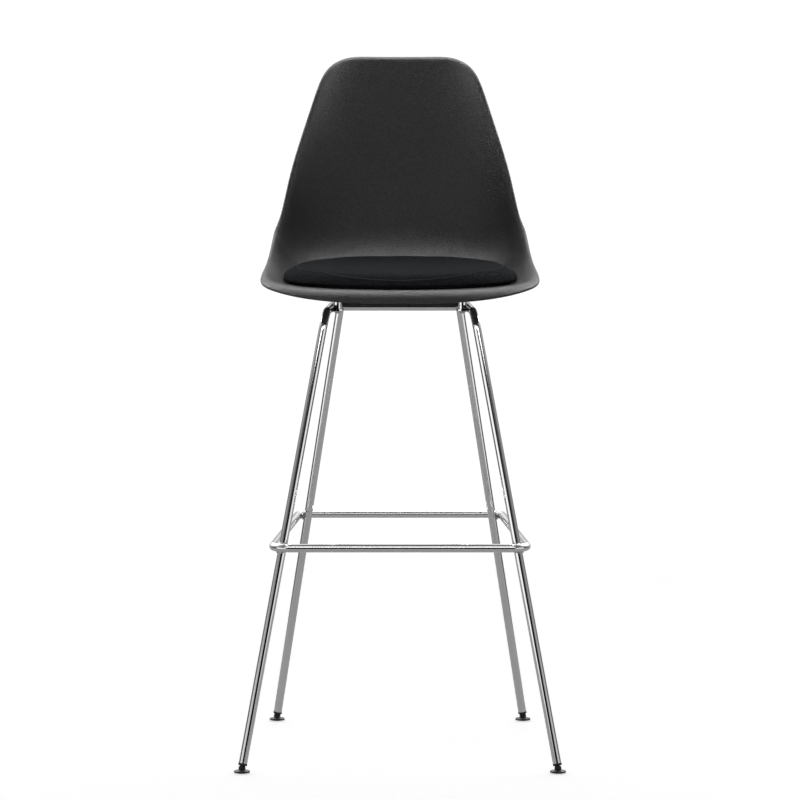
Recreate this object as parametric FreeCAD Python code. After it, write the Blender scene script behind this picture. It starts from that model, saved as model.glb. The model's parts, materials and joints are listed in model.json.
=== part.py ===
"""Bar stool with footrest: a moulded shell seat with a loose pad on a welded, chromed tube base.

The part's frame: origin on the floor in the middle of the four feet, +X to the right of someone
facing the stool, +Y to the back, +Z up. All sizes are in millimetres.
"""
import FreeCAD, Part
import math
import os

from FreeCAD import Vector

os.makedirs("parts", exist_ok=True)

# ---- driving dimensions: base --------------------------------------------------------------------
TUBE_R = 7.0                    # every tube of the base is 14 mm in diameter
TUBE_WALL = 2.0
FRONT_FOOT = (261.0, 256.0)     # distance of the front ball joints from the middle, across and deep
REAR_FOOT = (216.0, 256.0)
RAIL_FRONT = (122.8, 159.0)     # where the top rail's line meets the front leg's line
RAIL_REAR = (100.2, 159.0)
RAIL_Z = 755.0
CROSSBAR_Z = 751.5
ELBOW_R = 33.0
RING_Z = 370.0                  # centre line of the footrest
RING_FRONT_X, RING_REAR_X = 212.0, 176.0
RING_CORNER_R = 28.0
WELD, WELD_GAP = 2.0, 0.4       # throat of a weld bead, and its distance from loose pieces

# ---- driving dimensions: feet --------------------------------------------------------------------
BALL_Z, BALL_R = 8.0, 4.0
BALL_PLAY = 0.05
STEM_R = 1.9
COLLAR_R, COLLAR_H, COLLAR_START = 7.5, 4.0, 4.4
PLUG_R, PLUG_LENGTH = 4.95, 26.0
DISC_R, DISC_Z, DISC_TOP = 13.5, 1.0, 4.3
TREAD_R = 10.0                  # the flat underside inside the rounded lower edge
DOME_R, DOME_TOP = 5.9, 4.0      # round the ball; the flat top is this far above the ball's centre
DOME_GAP = 0.3                  # between the dome and the hollow of the collar
MOUTH_LOW, MOUTH_SLOPE = 2.95, 0.456    # radius 2 mm above the ball's centre, and its growth
SOLE_R, SOLE_H = 8.8, 1.6

# ---- driving dimensions: seat fixings ------------------------------------------------------------
FIXINGS = ((104.0, -100.0), (90.0, 100.0))    # front and rear pair, mirrored in X
TAB_T, TAB_R = 3.0, 11.0
SPACER_R, SPACER_H = 7.0, 13.0
ISOLATOR_R, ISOLATOR_H = 11.0, 3.0
SCREW_R, SCREW_HEAD_R, SCREW_HEAD_H = 3.0, 6.0, 3.6
WASHER_R, WASHER_H = 7.0, 1.2
BOSS_R, INSERT_R, INSERT_H = 15.0, 5.0, 14.0
HOLE_PLAY = 0.3

# ---- driving dimensions: shell -------------------------------------------------------------------
SHELL_T = 5.0
# Side view of the middle of the seat face, front to top: (y, z).
CENTRE_LINE = ((-236, 796.5), (-160, 797.5), (-60, 793.2), (30, 795), (90, 810), (135, 850),
               (165, 930), (195, 1040), (235, 1166))
# Along that line, from the front edge (0) to the top edge (1): half width, and how far the
# edges rise towards the sitter.
HALF_WIDTH = ((0.0, 186), (0.124, 232.2), (0.248, 224.4), (0.386, 212.5), (0.551, 203.6),
              (0.689, 186.7), (0.854, 153.4), (1.0, 122.7))
EDGE_RISE = ((0.0, 24.3), (0.124, 21.8), (0.275, 49.8), (0.413, 79.3), (0.523, 84.7), (0.661, 76.5),
             (0.826, 50.4), (1.0, 30.8))
# The power of the rise towards the sides: high where the seat is flat between upturned edges.
RISE_POWER = ((0.0, 9.6), (0.25, 9.6), (0.38, 8), (0.52, 4.6), (0.68, 3.3), (0.84, 3.2), (1.0, 3.6))
# Radius of the rolled edge; the front edge's is larger between the corners.
EDGE_ROLL = ((0.0, 14.6), (0.12, 20.1), (0.27, 16.8), (0.45, 11.7), (0.8, 10.9), (1.0, 7))
FRONT_ROLL, FRONT_ROLL_REACH = 25.5, 90.0
EDGE_ZONE = 60.0                # the roll never reaches this far in
FRONT_CORNER = (36.6, 35.5)     # how much a front corner is rounded, across and along
TOP_CORNER = (17.0, 15.5)

# ---- driving dimensions: pad ---------------------------------------------------------------------
PAD_HALF_WIDTH = 200.3
PAD_MIDDLE, PAD_FRONT, PAD_REAR = 169.5, 145.0, 174.0    # along the centre line, and from there
PAD_FRONT_POWER, PAD_REAR_POWER = 2.2, 2.1
PAD_TOP_Z, PAD_TOP_SLOPE = 828.1, 0.04                   # height of its flat top at y = 0
PAD_PANEL, PAD_SIDE_PANEL = 0.90, 0.80                   # share of the outline where its top is flat
PAD_EDGE = 1.6
BOARD_T, BOARD_SCALE = 2.5, 0.86
SKIN_GAP = 0.3
PAD_SCREWS = ((-62.0, 170.0), (62.0, 170.0))             # x, and distance along the centre line
PAD_SCREW_R, PAD_SCREW_HEAD_R, PAD_NUT_R = 2.5, 5.0, 7.0

SIDES = (("left", -1), ("right", 1))
LEGS = tuple((f"{end}_{side}", sx, sy) for end, sy in (("front", -1), ("rear", 1)) for side, sx in SIDES)


def export(name, shape):
    """Write one node, and say how big it is."""
    solids = shape.Solids
    shape = solids[0] if len(solids) == 1 else Part.makeCompound(solids)
    shape.exportStep(f"parts/{name}.step")
    print(f"{name}: {len(solids)} solids, {shape.Volume:.0f} mm3, valid {shape.isValid()}")


# ---- smooth curves through a few points ----------------------------------------------------------
class Spline:
    """A natural cubic spline through (t, value) pairs."""

    def __init__(self, pairs):
        self.t = [float(t) for t, _ in pairs]
        self.v = [float(v) for _, v in pairs]
        n = len(self.t)
        h = [self.t[i + 1] - self.t[i] for i in range(n - 1)]
        slope = [(self.v[i + 1] - self.v[i]) / h[i] for i in range(n - 1)]
        upper, right = [0.0] * n, [0.0] * n
        for i in range(1, n - 1):
            pivot = 2 * (h[i - 1] + h[i]) - h[i - 1] * upper[i - 1]
            upper[i] = h[i] / pivot
            right[i] = (6 * (slope[i] - slope[i - 1]) - h[i - 1] * right[i - 1]) / pivot
        self.bend = [0.0] * n
        for i in range(n - 2, 0, -1):
            self.bend[i] = right[i] - upper[i] * self.bend[i + 1]

    def span(self, t):
        for i in range(len(self.t) - 2):
            if t < self.t[i + 1]:
                return i
        return len(self.t) - 2

    def at(self, t):
        i = self.span(t)
        h = self.t[i + 1] - self.t[i]
        a, b = (self.t[i + 1] - t) / h, (t - self.t[i]) / h
        curve = (a ** 3 - a) * self.bend[i] + (b ** 3 - b) * self.bend[i + 1]
        return a * self.v[i] + b * self.v[i + 1] + curve * h * h / 6

    def slope(self, t):
        return (self.at(t + 0.01) - self.at(t - 0.01)) / 0.02


def chord_lengths(points):
    lengths = [0.0]
    for (y0, z0), (y1, z1) in zip(points, points[1:]):
        lengths.append(lengths[-1] + math.hypot(y1 - y0, z1 - z0))
    return lengths


class ShellForm:
    """The seat face of the shell as a formula.

    x is across and s along the centre line. a and b, both from -1 to 1, cover the rounded outline.
    """

    def __init__(self):
        lengths = chord_lengths(CENTRE_LINE)
        self.length = lengths[-1]
        self.half = self.length / 2
        self.y = Spline([(t, y) for t, (y, _) in zip(lengths, CENTRE_LINE)])
        self.z = Spline([(t, z) for t, (_, z) in zip(lengths, CENTRE_LINE)])
        self.width = Spline([(k * self.length, w) for k, w in HALF_WIDTH])
        self.rise = Spline([(k * self.length, r) for k, r in EDGE_RISE])
        self.power = Spline([(k * self.length, p) for k, p in RISE_POWER])
        self.side_roll = Spline([(k * self.length, r) for k, r in EDGE_ROLL])
        points = self.outline()
        self.edge, self.edge_runs = [], []
        for (x0, s0), (x1, s1) in zip(points, points[1:]):
            square = (x1 - x0) ** 2 + (s1 - s0) ** 2
            if square > 1e-9:
                self.edge.append((x0, s0))
                self.edge_runs.append((x1 - x0, s1 - s0, square))

    def place(self, a, b):
        across, along = TOP_CORNER if b > 0 else FRONT_CORNER
        end_width = self.width.at(self.length if b > 0 else 0.0)
        end_power, side_power = (end_width - across) / along, (self.half - along) / across
        s = self.half * (1 + b * (1 - along / self.half * abs(a) ** end_power))
        return a * (self.width.at(s) - across * abs(b) ** side_power), s

    def outline(self, steps=110):
        """Half of the outline, x positive, from the middle of the front edge to that of the top."""
        ramp = [math.sin(math.pi / 2 * k / steps) for k in range(steps + 1)]
        front = [self.place(k, -1) for k in ramp]
        side = [self.place(1, k) for k in [-k for k in reversed(ramp)] + ramp]
        top = [self.place(k, 1) for k in reversed(ramp)]
        return front + side[1:-1] + top

    def from_edge(self, x, s):
        """How far a point is from the outline, in the unrolled shell, as far as that matters."""
        x, nearest = abs(x), EDGE_ZONE ** 2
        if x < self.width.at(s) - EDGE_ZONE and EDGE_ZONE < s < self.length - EDGE_ZONE:
            return EDGE_ZONE
        for (x0, s0), (dx, ds, square) in zip(self.edge, self.edge_runs):
            k = min(1.0, max(0.0, ((x - x0) * dx + (s - s0) * ds) / square))
            nearest = min(nearest, (x - x0 - k * dx) ** 2 + (s - s0 - k * ds) ** 2)
        return math.sqrt(nearest)

    def roll(self, s, share):
        """Radius of the rolled edge; share is how far out the place is, from 0 to 1."""
        near = min(1.0, max(0.0, 1 - s / FRONT_ROLL_REACH))
        near = near * near * (3 - 2 * near) * (1 - share ** 2.5)
        return self.side_roll.at(s) * (1 - near) + FRONT_ROLL * near

    def point(self, x, s, lift=0.0):
        """A point of the seat face, or a point lift above it."""
        dy, dz = self.y.slope(s), self.z.slope(s)
        norm = math.hypot(dy, dz)
        share = min(1.0, abs(x) / self.width.at(s))
        roll = self.roll(s, share)
        radius = roll * 1.08
        inward = max(0.0, roll - self.from_edge(x, s))
        height = self.rise.at(s) * share ** self.power.at(s)
        height += math.sqrt(radius ** 2 - inward ** 2) - radius + lift
        return Vector(x, self.y.at(s) - height * dz / norm, self.z.at(s) + height * dy / norm)

    def normal(self, x, s, step=1.0):
        """Unit normal of the seat face, towards the sitter, from points that lie further in."""
        here = self.point(x, s)
        side, end = math.copysign(step, x), math.copysign(step, s - self.half)
        across = (here - self.point(x - side, s)) * side
        along = (here - self.point(x, s - end)) * end
        return across.cross(along).normalize()

    def face_z(self, x, y):
        """Height of the seat face above a place on the floor, in the seat part."""
        s = self.seat_run(x, y)
        return self.point(x, s).z

    def seat_run(self, x, y):
        low, high = 0.0, self.length * 0.55
        for _ in range(40):
            middle = (low + high) / 2
            low, high = (middle, high) if self.point(x, middle).y < y else (low, middle)
        return low


FORM = ShellForm()


# ---- solids between two curved skins -------------------------------------------------------------
def eased(count):
    """Steps from -1 to 1 that are closer together near the ends."""
    return [math.sin(math.pi / 2 * (-1 + 2 * i / (count - 1))) for i in range(count)]


def curve_through(points):
    """A cubic B-spline through points at equal steps of its parameter."""
    curve = Part.BSplineCurve()
    curve.interpolate(Points=points, Parameters=[float(k) for k in range(len(points))])
    return curve


def smooth_face(grid):
    """A face through a grid of points, whose edges depend only on the grid's own edge points."""
    rows = [curve_through(row) for row in grid]
    columns = [curve_through(list(poles)) for poles in zip(*[row.getPoles() for row in rows])]
    poles = [list(row) for row in zip(*[column.getPoles() for column in columns])]
    surface = Part.BSplineSurface()
    surface.buildFromPolesMultsKnots(poles, columns[0].getMultiplicities(), rows[0].getMultiplicities(),
                                     columns[0].getKnots(), rows[0].getKnots(), False, False, 3, 3)
    return surface.toShape()


def closed_solid(faces):
    """Sew faces that share their edges into one solid."""
    skin = Part.makeCompound(faces)
    skin.sewShape()
    solid = Part.makeSolid(skin.Shells[0])
    if solid.Volume < 0:
        solid.reverse()
    return solid


def outward(grid, normals, i, j):
    """Unit direction that points out of the grid at one place on its border, along the skin."""
    rows, columns = len(grid), len(grid[0])
    inner_i = min(max(i, 1), rows - 2)
    inner_j = min(max(j, 1), columns - 2)
    away = grid[i][j] - grid[inner_i][inner_j]
    if inner_i == i or inner_j == j:
        if inner_i == i:
            along = grid[i + 1][j] - grid[i - 1][j]
        else:
            along = grid[i][j + 1] - grid[i][j - 1]
        square = along.cross(normals[i][j])
        away = square * math.copysign(1.0, square.dot(away))
    away = away - normals[i][j] * away.dot(normals[i][j])
    return away.normalize()


def rim_face(top, bottom, normals, border, bulge):
    """A rounded band between the matching edges of two grids; bulge 1 is a half circle."""
    bands = []
    for i, j in border:
        middle = (top[i][j] + bottom[i][j]) * 0.5
        up = (top[i][j] - bottom[i][j]) * 0.5
        out = outward(top, normals, i, j) * (up.Length * bulge)
        turns = [math.pi * k / 6 for k in range(7)]
        bands.append([middle + up * math.cos(turn) + out * math.sin(turn) for turn in turns])
    return smooth_face(bands)


def slab(top, bottom, normals, bulge=1.0):
    """The closed solid between two grids of points, with a rounded rim."""
    rows, columns = len(top), len(top[0])
    borders = ([(0, j) for j in range(columns)], [(rows - 1, j) for j in range(columns)],
               [(i, 0) for i in range(rows)], [(i, columns - 1) for i in range(rows)])
    rims = [rim_face(top, bottom, normals, border, bulge) for border in borders]
    return closed_solid([smooth_face(top), smooth_face(bottom)] + rims)


def cylinder(radius, height, base, direction=(0, 0, 1)):
    return Part.makeCylinder(radius, height, Vector(*base), Vector(*direction))


# ---- shell ---------------------------------------------------------------------------------------
def shell_skin(rows=61, columns=41):
    """Seat face of the shell, its lower face, and the normals between them."""
    places = [[FORM.place(a, b) for a in eased(columns)] for b in eased(rows)]
    top = [[FORM.point(*place) for place in row] for row in places]
    normals = [[FORM.normal(*place) for place in row] for row in places]
    bottom = [[p - n * SHELL_T for p, n in zip(*pair)] for pair in zip(top, normals)]
    return top, bottom, normals


def fixing_points():
    """Places of the four fixings: (x, y)."""
    return [(side * x, y) for x, y in FIXINGS for _, side in SIDES]


def boss(x, y, radius, base_z):
    """A round post under the shell that ends inside the shell's thickness."""
    ring = [(x + radius * math.cos(turn), y + radius * math.sin(turn))
            for turn in [math.pi * k / 4 for k in range(8)]]
    top_z = min(FORM.face_z(px, py) for px, py in ring + [(x, y)]) - 0.8
    return cylinder(radius, top_z - base_z, (x, y, base_z))


def boss_base():
    return RAIL_Z + TAB_T / 2 + SPACER_H + ISOLATOR_H


def seat_shell():
    shape = slab(*shell_skin())
    for x, y in fixing_points():
        shape = shape.fuse(boss(x, y, BOSS_R, boss_base()))
    for x, y in fixing_points():
        shape = shape.cut(cylinder(INSERT_R, INSERT_H, (x, y, boss_base())))
    for x, s in PAD_SCREWS:
        place = FORM.point(x, s)
        shape = shape.cut(cylinder(PAD_SCREW_R + HOLE_PLAY, 30, (place.x, place.y, place.z - 15)))
    return shape


def shell_inserts():
    """Threaded inserts moulded into the four bosses."""
    shapes = []
    for x, y in fixing_points():
        insert = cylinder(INSERT_R, INSERT_H, (x, y, boss_base()))
        shapes.append(insert.cut(cylinder(SCREW_R, INSERT_H, (x, y, boss_base()))))
    return Part.makeCompound(shapes)


# ---- pad -----------------------------------------------------------------------------------------
def pad_place(a, b, scale):
    """A point of the pad's rounded outline, scaled, as x and distance along the centre line."""
    reach, power = (PAD_REAR, PAD_REAR_POWER) if b > 0 else (PAD_FRONT, PAD_FRONT_POWER)
    radius = max(abs(a), abs(b))
    if radius < 1e-9:
        return 0.0, PAD_MIDDLE
    size = (abs(a) ** power + abs(b) ** power) ** (1 / power)
    fit = scale * radius / size
    return a * fit * PAD_HALF_WIDTH, PAD_MIDDLE + b * fit * reach


def pad_grids(low, high, scale, count=31):
    """Grids of points at two heights above the seat face; high is a function of a and b."""
    steps = eased(count)
    top = [[FORM.point(*pad_place(a, b, scale), high(a, b)) for a in steps] for b in steps]
    bottom = [[FORM.point(*pad_place(a, b, scale), low) for a in steps] for b in steps]
    normals = [[FORM.normal(*pad_place(a, b, scale)) for a in steps] for b in steps]
    return top, bottom, normals


def pad_cushion():
    low = SKIN_GAP * 2 + BOARD_T

    def high(a, b):
        place = pad_place(a, b, 1.0)
        face = FORM.point(*place)
        climb = FORM.point(*place, 1.0).z - face.z
        height = (PAD_TOP_Z + PAD_TOP_SLOPE * face.y - face.z) / climb - low - PAD_EDGE
        panel = PAD_PANEL - (PAD_PANEL - PAD_SIDE_PANEL) * a * a
        past = max(0.0, (max(abs(a), abs(b)) - panel) / (1 - panel))
        return low + PAD_EDGE + height * math.sqrt(max(0.0, 1 - past * past))

    return slab(*pad_grids(low, high, 1.0))


def pad_board():
    """The stiff board under the cushion, drilled for its two nuts."""
    shape = slab(*pad_grids(SKIN_GAP, lambda a, b: SKIN_GAP + BOARD_T, BOARD_SCALE))
    for x, s in PAD_SCREWS:
        place = FORM.point(x, s)
        shape = shape.cut(cylinder(PAD_SCREW_R, 30, (place.x, place.y, place.z - 15)))
    return shape


def pad_screws():
    """Pan-head screws that hold the pad's board from below the shell."""
    shapes = []
    for x, s in PAD_SCREWS:
        place = FORM.point(x, s)
        head_top = place.z - SHELL_T - 1.2
        shank = cylinder(PAD_SCREW_R - 0.02, place.z + BOARD_T + SKIN_GAP - head_top,
                         (place.x, place.y, head_top))
        head = cylinder(PAD_SCREW_HEAD_R, 3.0, (place.x, place.y, head_top - 3.0))
        shapes.append(shank.fuse(head.makeFillet(1.2, [head.Edges[2]])))
    return Part.makeCompound(shapes)


# ---- tubes ---------------------------------------------------------------------------------------
def rounded_path(points, radius, closed=False):
    """Straight runs through points, joined by tangent arcs."""
    count = len(points)
    corners = range(count) if closed else range(1, count - 1)
    arcs = {}
    for k in corners:
        before, here, after = points[k - 1], points[k], points[(k + 1) % count]
        u, v = (before - here).normalize(), (after - here).normalize()
        half_turn = u.getAngle(v) / 2
        reach = radius / math.tan(half_turn)
        middle = here + (u + v).normalize() * (radius / math.sin(half_turn) - radius)
        arcs[k] = (here + u * reach, middle, here + v * reach)
    edges = []
    for k in range(count if closed else count - 1):
        following = (k + 1) % count
        start = arcs[k][2] if k in arcs else points[k]
        end = arcs[following][0] if following in arcs else points[following]
        edges.append(Part.LineSegment(start, end).toShape())
        if following in arcs:
            edges.append(Part.Arc(*arcs[following]).toShape())
    return Part.Wire(edges)


def rod(path, radius):
    """A round bar along a path."""
    first = path.Edges[0]
    start, direction = first.valueAt(first.FirstParameter), first.tangentAt(first.FirstParameter)
    profile = Part.Wire(Part.Circle(start, direction, radius).toShape())
    return path.makePipeShell([profile], True, False)


def pipe(path, radius, wall):
    return rod(path, radius).cut(rod(path, radius - wall))


def ball_centre(sx, sy):
    x, y = FRONT_FOOT if sy < 0 else REAR_FOOT
    return Vector(sx * x, sy * y, BALL_Z)


def rail_corner(sx, sy):
    x, y = RAIL_FRONT if sy < 0 else RAIL_REAR
    return Vector(sx * x, sy * y, RAIL_Z)


def leg_direction(sx, sy):
    """Unit vector up a leg."""
    return (rail_corner(sx, sy) - ball_centre(sx, sy)).normalize()


def side_path(sx):
    """Centre line of one side frame: front leg, top rail, rear leg."""
    tube_start = COLLAR_START + COLLAR_H
    ends = [ball_centre(sx, sy) + leg_direction(sx, sy) * tube_start for sy in (-1, 1)]
    return rounded_path([ends[0], rail_corner(sx, -1), rail_corner(sx, 1), ends[1]], ELBOW_R)


def side_frame(sx):
    return pipe(side_path(sx), TUBE_R, TUBE_WALL)


def solid_frames(radius=TUBE_R):
    """Both side frames as solid bars, for trimming what is welded to them."""
    return [rod(side_path(sx), radius) for _, sx in SIDES]


def rail_x(y):
    """Distance of a top rail's line from the middle plane."""
    k = (y + RAIL_FRONT[1]) / (RAIL_FRONT[1] + RAIL_REAR[1])
    return RAIL_FRONT[0] + k * (RAIL_REAR[0] - RAIL_FRONT[0])


def trimmed(shape, cutters):
    for cutter in cutters:
        shape = shape.cut(cutter)
    return shape


def crossbar_body(radius):
    half = rail_x(0)
    return cylinder(radius, 2 * half, (-half, 0, CROSSBAR_Z), (1, 0, 0))


def crossbar():
    """Tube between the middles of the two top rails, its ends coped to fit them."""
    return trimmed(crossbar_body(TUBE_R).cut(crossbar_body(TUBE_R - TUBE_WALL)), solid_frames())


def crossbar_welds():
    """A bead round each coped end of the crossbar."""
    near = [frame.common(crossbar_body(TUBE_R + WELD)) for frame in solid_frames(TUBE_R + WELD)]
    beads = [trimmed(bead, solid_frames() + [crossbar_body(TUBE_R)]) for bead in near]
    return Part.makeCompound(beads)


# ---- footrest ------------------------------------------------------------------------------------
def leg_at(sx, sy, z):
    direction = leg_direction(sx, sy)
    return ball_centre(sx, sy) + direction * ((z - BALL_Z) / direction.z)


def ring_y(sy):
    """Where a footrest bar's line lies when it just touches the outer faces of its two legs."""
    direction = leg_direction(1, sy)
    tilt = math.hypot(direction.y, direction.z) / direction.z
    return leg_at(1, sy, RING_Z).y + sy * 2 * TUBE_R * tilt


def ring_path():
    front, rear = ring_y(-1), ring_y(1)
    corners = [Vector(-RING_FRONT_X, front, RING_Z), Vector(RING_FRONT_X, front, RING_Z),
               Vector(RING_REAR_X, rear, RING_Z), Vector(-RING_REAR_X, rear, RING_Z)]
    return rounded_path(corners, RING_CORNER_R, closed=True)


def footrest_ring():
    """Tube bent to a closed ring, pressed a little flat where it meets the legs."""
    return trimmed(pipe(ring_path(), TUBE_R, TUBE_WALL), solid_frames())


def footrest_welds():
    """A bead where each leg touches the footrest."""
    fat_ring, ring = rod(ring_path(), TUBE_R + WELD), rod(ring_path(), TUBE_R)
    beads = []
    for _, sx, sy in LEGS:
        low, high = leg_at(sx, sy, RING_Z - 30), leg_at(sx, sy, RING_Z + 30)
        leg = cylinder(TUBE_R, (high - low).Length, low, leg_direction(sx, sy))
        fat_leg = cylinder(TUBE_R + WELD, (high - low).Length, low, leg_direction(sx, sy))
        beads.append(fat_leg.common(fat_ring).cut(leg).cut(ring))
    return Part.makeCompound(beads)


# ---- seat fixings --------------------------------------------------------------------------------
def tab(x, y):
    """A drilled plate welded to the inner side of a top rail."""
    base_z = RAIL_Z - TAB_T / 2
    side = math.copysign(1.0, x)
    reach = rail_x(y) - abs(x)
    web = Part.makeBox(reach, 2 * TAB_R, TAB_T, Vector(min(x, x + side * reach), y - TAB_R, base_z))
    plate = cylinder(TAB_R, TAB_T, (x, y, base_z)).fuse(web).removeSplitter()
    plate = plate.cut(cylinder(SCREW_R + HOLE_PLAY, TAB_T, (x, y, base_z)))
    return trimmed(plate, solid_frames())


def tab_welds():
    """Beads above and below each tab, along the rail, that stay clear of what is stacked on it."""
    clear = [cylinder(WASHER_R + WELD_GAP, 2 * SPACER_H, (x, y, RAIL_Z - SPACER_H))
             for x, y in fixing_points()]
    shapes = []
    for x, y in fixing_points():
        side = math.copysign(1.0, x)
        for level in (-1, 1):
            z = RAIL_Z + level * TAB_T / 2
            touch = math.sqrt(TUBE_R ** 2 - (TAB_T / 2) ** 2)
            start = Vector(side * (rail_x(y - TAB_R + 3) - touch), y - TAB_R + 3, z)
            end = Vector(side * (rail_x(y + TAB_R - 3) - touch), y + TAB_R - 3, z)
            bead = cylinder(WELD * 1.2, (end - start).Length, start, end - start)
            plate_half = Part.makeBox(60, 60, TAB_T, Vector(x - 30, y - 30, RAIL_Z - TAB_T / 2))
            shapes.append(trimmed(bead.cut(plate_half), solid_frames() + clear))
    return Part.makeCompound(shapes)


def stacked(radius, height, base_z, hole=SCREW_R + HOLE_PLAY):
    """The same drilled disc on all four fixings."""
    shapes = []
    for x, y in fixing_points():
        disc = cylinder(radius, height, (x, y, base_z))
        shapes.append(disc.cut(cylinder(hole, height, (x, y, base_z))))
    return Part.makeCompound(shapes)


def spacers():
    return stacked(SPACER_R, SPACER_H, RAIL_Z + TAB_T / 2)


def isolators():
    return stacked(ISOLATOR_R, ISOLATOR_H, RAIL_Z + TAB_T / 2 + SPACER_H)


def base_washers():
    return stacked(WASHER_R, WASHER_H, RAIL_Z - TAB_T / 2 - WASHER_H)


def base_screws():
    """Button-head socket screws, up through the tabs into the shell's inserts."""
    shapes = []
    head_top = RAIL_Z - TAB_T / 2 - WASHER_H
    for x, y in fixing_points():
        shank = cylinder(SCREW_R - 0.02, boss_base() + INSERT_H - 2 - head_top, (x, y, head_top))
        head = cylinder(SCREW_HEAD_R, SCREW_HEAD_H, (x, y, head_top - SCREW_HEAD_H))
        low_edge = min(head.Edges, key=lambda edge: edge.CenterOfMass.z)
        head = head.makeFillet(1.6, [low_edge])
        socket_size = 2.0
        socket = Part.makePolygon([Vector(x + socket_size * math.cos(k * math.pi / 3),
                                          y + socket_size * math.sin(k * math.pi / 3),
                                          head_top - SCREW_HEAD_H) for k in range(7)])
        socket = Part.Face(socket).extrude(Vector(0, 0, 2.0))
        shapes.append(shank.fuse(head).cut(socket))
    return Part.makeCompound(shapes)


# ---- feet ----------------------------------------------------------------------------------------
def leg_plug(sx, sy):
    """Plug in the end of a leg, with its collar, and the stem and ball that carry the foot."""
    centre, up = ball_centre(sx, sy), leg_direction(sx, sy)
    collar_base = centre + up * COLLAR_START
    tube_end = collar_base + up * COLLAR_H
    collar = cylinder(COLLAR_R, COLLAR_H, collar_base, up)
    collar = collar.makeFillet(0.8, [edge for edge in collar.Edges if edge.isClosed()])
    collar = collar.cut(Part.makeSphere(DOME_R + DOME_GAP, centre))
    plug = cylinder(PLUG_R, PLUG_LENGTH, tube_end, up)
    stem = cylinder(STEM_R, COLLAR_START + 3, centre, up)
    return collar.fuse(plug).fuse(stem).fuse(Part.makeSphere(BALL_R, centre)).removeSplitter()


def turned(profile, centre_x, centre_y):
    """A solid of revolution about a vertical line from (radius, z) points."""
    points = [Vector(centre_x + r, centre_y, z) for r, z in profile]
    face = Part.Face(Part.makePolygon(points + points[:1]))
    return face.revolve(Vector(centre_x, centre_y, 0), Vector(0, 0, 1), 360)


def foot(sx, sy):
    """A round foot with a domed socket for the ball."""
    centre = ball_centre(sx, sy)
    profile = [(0, DISC_Z), (TREAD_R, DISC_Z), (DISC_R - 1.6, DISC_Z + 0.9), (DISC_R - 0.3, DISC_TOP - 1.3),
               (DISC_R, DISC_TOP - 0.6), (DISC_R - 0.5, DISC_TOP), (DISC_R - 2.0, DISC_TOP - 0.1),
               (DOME_R + 1.2, DISC_TOP + 0.4), (DOME_R, DISC_TOP + 1.4), (DOME_R - 0.6, BALL_Z), (0, BALL_Z)]
    body = turned(profile, centre.x, centre.y).fuse(Part.makeSphere(DOME_R, centre))
    recess = cylinder(SOLE_R + BALL_PLAY, SOLE_H, (centre.x, centre.y, 0))
    above = cylinder(DOME_R + 1, DOME_R, (centre.x, centre.y, BALL_Z + DOME_TOP))
    mouth = Part.makeCone(MOUTH_LOW, MOUTH_LOW + MOUTH_SLOPE * 4, 4, centre + Vector(0, 0, 2))
    for hollow in (above, Part.makeSphere(BALL_R + BALL_PLAY, centre), mouth, recess):
        body = body.cut(hollow)
    return body.removeSplitter()


def sole(sx, sy):
    """The replaceable disc that meets the floor."""
    centre = ball_centre(sx, sy)
    return cylinder(SOLE_R, SOLE_H, (centre.x, centre.y, 0))


def main():
    export("seat_shell", seat_shell())
    export("shell_inserts", shell_inserts())
    export("pad_cushion", pad_cushion())
    export("pad_board", pad_board())
    export("pad_screws", pad_screws())
    for side, sx in SIDES:
        export(f"side_frame_{side}", side_frame(sx))
    export("crossbar", crossbar())
    export("crossbar_welds", crossbar_welds())
    export("footrest_ring", footrest_ring())
    export("footrest_welds", footrest_welds())
    for x, y in fixing_points():
        end, side = ("front" if y < 0 else "rear"), ("left" if x < 0 else "right")
        export(f"tab_{end}_{side}", tab(x, y))
    export("tab_welds", tab_welds())
    export("spacers", spacers())
    export("isolators", isolators())
    export("base_washers", base_washers())
    export("base_screws", base_screws())
    for name, sx, sy in LEGS:
        export(f"leg_plug_{name}", leg_plug(sx, sy))
        export(f"foot_{name}", foot(sx, sy))
        export(f"sole_{name}", sole(sx, sy))


main()
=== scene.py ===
"""Bar stool with footrest: the finished look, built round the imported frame.

A matte moulded shell on a chromed tube base, with a woven pad and four tilting feet. The frame's
own solids stay where their shape is right. The tubes, the pad, the feet and what is stacked between
base and shell are modelled again here with finer detail. Lengths in the classes are millimetres, as
a maker would write them, and MM turns them into the scene's metres.
"""

import json
import logging
import math
from dataclasses import dataclass
from enum import Enum
from typing import Any, Optional, Sequence, Union

import bpy
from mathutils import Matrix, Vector


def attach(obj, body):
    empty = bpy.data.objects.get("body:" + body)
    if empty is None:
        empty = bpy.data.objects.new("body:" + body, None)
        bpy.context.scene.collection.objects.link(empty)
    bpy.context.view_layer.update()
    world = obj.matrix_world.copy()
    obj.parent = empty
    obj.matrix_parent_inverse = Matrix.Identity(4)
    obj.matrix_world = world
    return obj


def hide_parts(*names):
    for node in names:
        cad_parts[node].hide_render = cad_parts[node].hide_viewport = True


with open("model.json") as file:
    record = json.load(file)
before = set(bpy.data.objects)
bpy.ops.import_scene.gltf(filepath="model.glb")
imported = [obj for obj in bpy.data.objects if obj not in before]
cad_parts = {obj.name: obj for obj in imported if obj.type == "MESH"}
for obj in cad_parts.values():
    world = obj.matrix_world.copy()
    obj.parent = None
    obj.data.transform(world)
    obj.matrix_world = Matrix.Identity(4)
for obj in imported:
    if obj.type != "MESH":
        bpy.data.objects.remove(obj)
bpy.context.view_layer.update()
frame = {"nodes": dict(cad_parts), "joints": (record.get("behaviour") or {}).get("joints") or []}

log = logging.getLogger("bar_stool")

MM = 0.001
STOOL = "stool"
Pairs = Sequence[tuple[float, float]]
Place = tuple[float, float, float]


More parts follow.
